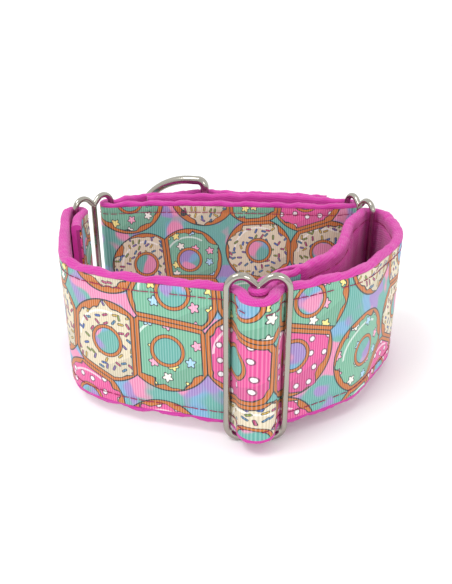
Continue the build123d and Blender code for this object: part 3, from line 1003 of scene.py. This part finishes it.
class CollarColours(bpy.types.PropertyGroup):
    lining: bpy.props.FloatVectorProperty(
        name="Lining", description="Lining cloth", default=shade(216, 34, 166), subtype="COLOR")
    lining_deep: bpy.props.FloatVectorProperty(
        name="Lining in folds", description="Lining cloth where it is deeper",
        default=shade(160, 20, 118), subtype="COLOR")
    thread: bpy.props.FloatVectorProperty(
        name="Thread", description="Sewing thread", default=shade(165, 30, 88), subtype="COLOR")
    ground: bpy.props.FloatVectorProperty(
        name="Ground", description="Ribbon behind the print", default=shade(100, 174, 164), subtype="COLOR")
    pink_icing: bpy.props.FloatVectorProperty(
        name="Pink icing", description="Icing with dots", default=shade(228, 78, 152), subtype="COLOR")
    mint_icing: bpy.props.FloatVectorProperty(
        name="Mint icing", description="Icing with stars", default=shade(116, 182, 152), subtype="COLOR")
    cream_icing: bpy.props.FloatVectorProperty(
        name="Cream icing", description="Icing with sprinkles",
        default=shade(226, 213, 184), subtype="COLOR")
    dough: bpy.props.FloatVectorProperty(
        name="Dough", description="Rim of each ring", default=shade(206, 112, 22), subtype="COLOR")
    outline: bpy.props.FloatVectorProperty(
        name="Outline", description="Drawn line round each shape",
        default=shade(30, 44, 46), subtype="COLOR")
    nickel: bpy.props.FloatVectorProperty(
        name="Nickel", description="Plated wire", default=shade(172, 168, 158), subtype="COLOR")


class COLLAR_OT_neck_strap(bpy.types.Operator):
    """Makes the neck strap's lining, webbing, ribbon and stitches"""
    bl_idname = "collar.neck_strap"
    bl_label = "Neck strap"

    def execute(self, context):
        make_strap("neck")
        return {"FINISHED"}


class COLLAR_OT_control_loop(bpy.types.Operator):
    """Makes the control loop's lining, webbing, ribbon and stitches"""
    bl_idname = "collar.control_loop"
    bl_label = "Control loop"

    def execute(self, context):
        make_strap("loop")
        return {"FINISHED"}


class COLLAR_OT_hardware(bpy.types.Operator):
    """Gives the slider, the two rings and the D-ring their nickel finish"""
    bl_idname = "collar.hardware"
    bl_label = "Nickel hardware"

    def execute(self, context):
        nickel = nickel_finish("nickel_wire", context.scene.collar_colours.nickel)
        for name in ("slider", "left_ring", "right_ring", "d_ring"):
            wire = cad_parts[name]
            wire.data.materials.clear()
            wire.data.materials.append(nickel)
            wire.data.shade_smooth()
        return {"FINISHED"}


def soft_light(name, place, target, width, power):
    """A round lamp aimed at its target."""
    data = bpy.data.lights.new(name, "AREA")
    data.shape = "DISK"
    data.size = width
    data.energy = power
    lamp = bpy.data.objects.new(name, data)
    lamp.location = place
    lamp.rotation_euler = (Vector(target) - Vector(place)).to_track_quat("-Z", "Y").to_euler()
    bpy.context.scene.collection.objects.link(lamp)


# Each lamp: its name, place, target, width and power.
LAMPS = (("overhead", (-0.35, -0.25, 0.8), (0, 0, 0), 0.35, 2.4),
         ("front_fill", (0.35, -0.8, 0.45), (0, 0, 0.03), 0.3, 1.3))
# Strength of the room's light from in front of the collar and from behind it, and the forward
# directions between which the one fades into the other.
DIM_SIDE = 0.9
BRIGHT_SIDE = 1.1
FADE_STARTS = -0.9
FADE_ENDS = -0.1
FLOOR_REACH = 8.0
FLOOR_DROP = 0.0001
CAMERA_PLACE = (0.0001, -0.22031, 0.1234)
CAMERA_TILT = 66.5
CAMERA_LENS = 36.99
CAMERA_NEAR = 0.01


def pale_floor():
    """A wide square of white card just under the collar."""
    corners = [(x * FLOOR_REACH, y * FLOOR_REACH, 0) for x, y in ((-1, -1), (1, -1), (1, 1), (-1, 1))]
    mesh = bpy.data.meshes.new("floor")
    mesh.from_pydata(corners, [], [(0, 1, 2, 3)])
    mesh.materials.append(floor_finish("pale_floor"))
    floor = bpy.data.objects.new("floor", mesh)
    floor.location.z = -FLOOR_DROP
    bpy.context.scene.collection.objects.link(floor)


def soft_room():
    """White light from all round, a little weaker from the front."""
    world = bpy.data.worlds.new("soft_room")
    world.use_nodes = True
    tree = world.node_tree
    around = tree.nodes.new("ShaderNodeTexCoord")
    axes = tree.nodes.new("ShaderNodeSeparateXYZ")
    fade = tree.nodes.new("ShaderNodeMapRange")
    fade.interpolation_type = "SMOOTHSTEP"
    for socket, value in zip(fade.inputs[1:5], (FADE_STARTS, FADE_ENDS, DIM_SIDE, BRIGHT_SIDE)):
        socket.default_value = value
    colour, strength = tree.nodes["Background"].inputs[:2]
    colour.default_value = opaque(WHITE)
    tree.links.new(around.outputs["Generated"], axes.inputs[0])
    tree.links.new(axes.outputs[1], fade.inputs[0])
    tree.links.new(fade.outputs[0], strength)
    bpy.context.scene.world = world


def view_camera():
    """The camera in front of the collar and above it."""
    camera = bpy.data.objects.new("camera", bpy.data.cameras.new("camera"))
    camera.location = CAMERA_PLACE
    camera.rotation_euler = (math.radians(CAMERA_TILT), 0, 0)
    camera.data.lens = CAMERA_LENS
    camera.data.clip_start = CAMERA_NEAR
    bpy.context.scene.collection.objects.link(camera)
    bpy.context.scene.camera = camera


class COLLAR_OT_stage(bpy.types.Operator):
    """Makes the pale floor, the soft lights and the camera"""
    bl_idname = "collar.stage"
    bl_label = "Stage"

    def execute(self, context):
        pale_floor()
        soft_room()
        for lamp in LAMPS:
            soft_light(*lamp)
        view_camera()
        context.scene.view_settings.view_transform = "Standard"
        return {"FINISHED"}


class COLLAR_PT_pieces(bpy.types.Panel):
    """Lists the collar's pieces, sizes and colours"""
    bl_label = "Martingale collar"
    bl_idname = "COLLAR_PT_pieces"
    bl_space_type = "VIEW_3D"
    bl_region_type = "UI"
    bl_category = "Collar"

    def draw(self, context):
        for group in (context.scene.collar_sizes, context.scene.collar_colours):
            for name in type(group).__annotations__:
                self.layout.prop(group, name)
        for operator in OPERATORS:
            self.layout.operator(operator.bl_idname)


OPERATORS = (COLLAR_OT_neck_strap, COLLAR_OT_control_loop, COLLAR_OT_hardware, COLLAR_OT_stage)
CLASSES = (CollarSizes, CollarColours, *OPERATORS, COLLAR_PT_pieces)


def register():
    for cls in CLASSES:
        bpy.utils.register_class(cls)
    bpy.types.Scene.collar_sizes = bpy.props.PointerProperty(type=CollarSizes)
    bpy.types.Scene.collar_colours = bpy.props.PointerProperty(type=CollarColours)


def unregister():
    del bpy.types.Scene.collar_colours
    del bpy.types.Scene.collar_sizes
    for cls in reversed(CLASSES):
        bpy.utils.unregister_class(cls)


def main():
    """Builds the whole collar."""
    register()
    bpy.ops.collar.neck_strap()
    bpy.ops.collar.control_loop()
    bpy.ops.collar.hardware()
    bpy.ops.collar.stage()


if __name__ == "__main__":
    main()
